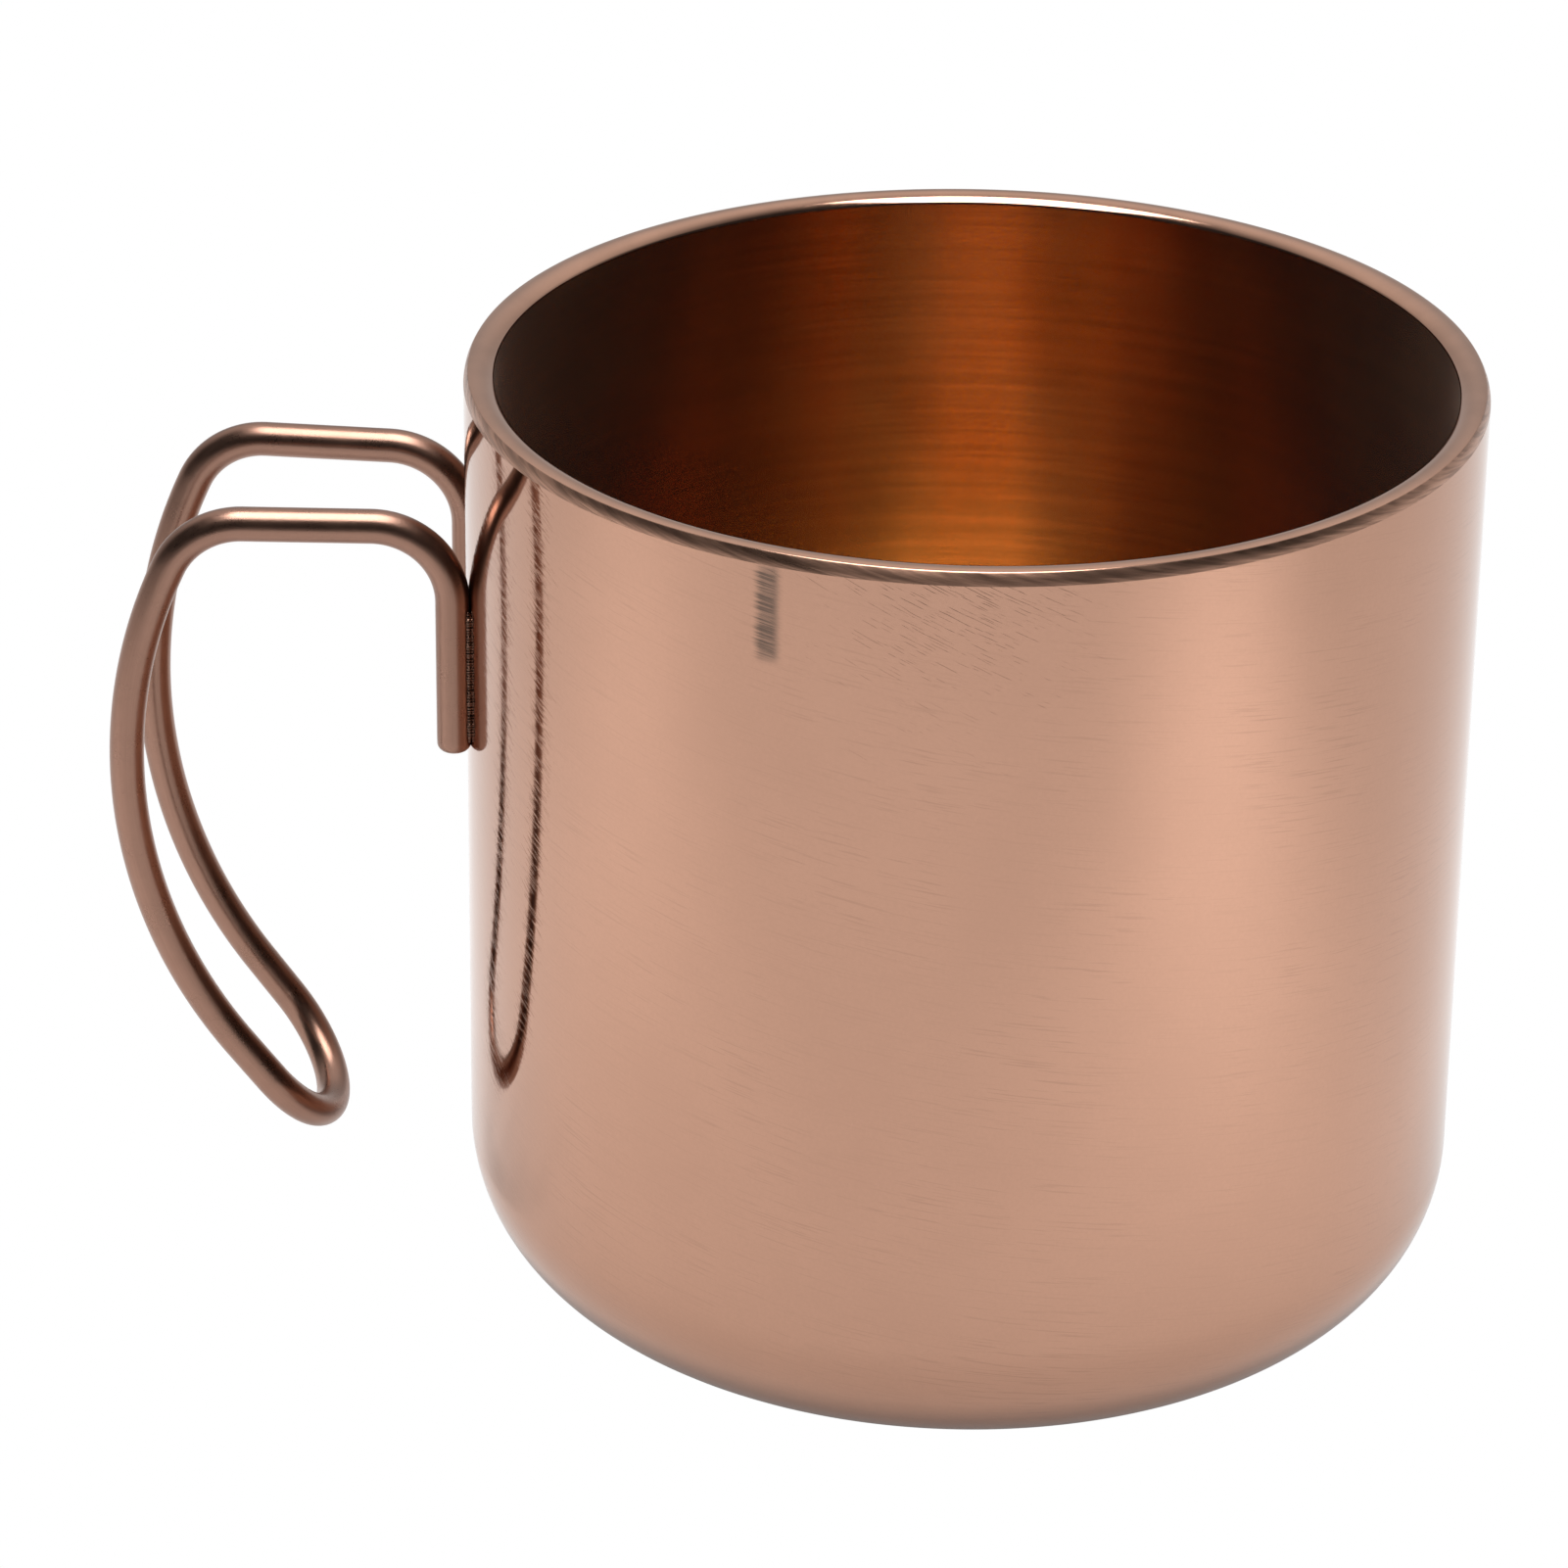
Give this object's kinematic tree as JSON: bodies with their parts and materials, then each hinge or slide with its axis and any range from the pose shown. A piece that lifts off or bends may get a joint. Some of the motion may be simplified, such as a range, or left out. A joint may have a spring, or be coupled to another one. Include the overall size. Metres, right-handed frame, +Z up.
{
  "type": "mug",
  "caption": "Straight-sided double-walled drinking mug in copper finish with a bent-wire loop handle welded to its wall.",
  "frame": {"origin": "centre of the foot ring, on the mug's axis, at table level", "axes": "+Z up through the mouth along the mug's axis; the handle stands on the -X side; the XZ plane is the plane of symmetry"},
  "size_m": [0.1186, 0.088, 0.0854],
  "materials": {
    "copper_polished": "stainless sheet in a rose copper finish, polished, with faint lines round the wall",
    "copper_brushed": "stainless sheet in a copper finish, brushed round the inside, polished on the lip",
    "copper_base": "stainless sheet in a copper finish, satin, turned in circles",
    "copper_satin": "stainless wire in a copper finish, satin, drawn along its length",
    "copper_weld": "weld metal in a copper finish, rippled"
  },
  "bodies": {
    "root": {"outer_shell": "copper_polished", "inner_liner": "copper_brushed", "base_plate": "copper_base", "handle_wire": "copper_satin", "handle_weld_right": "copper_weld", "handle_weld_left": "copper_weld"}
  },
  "joints": []
}
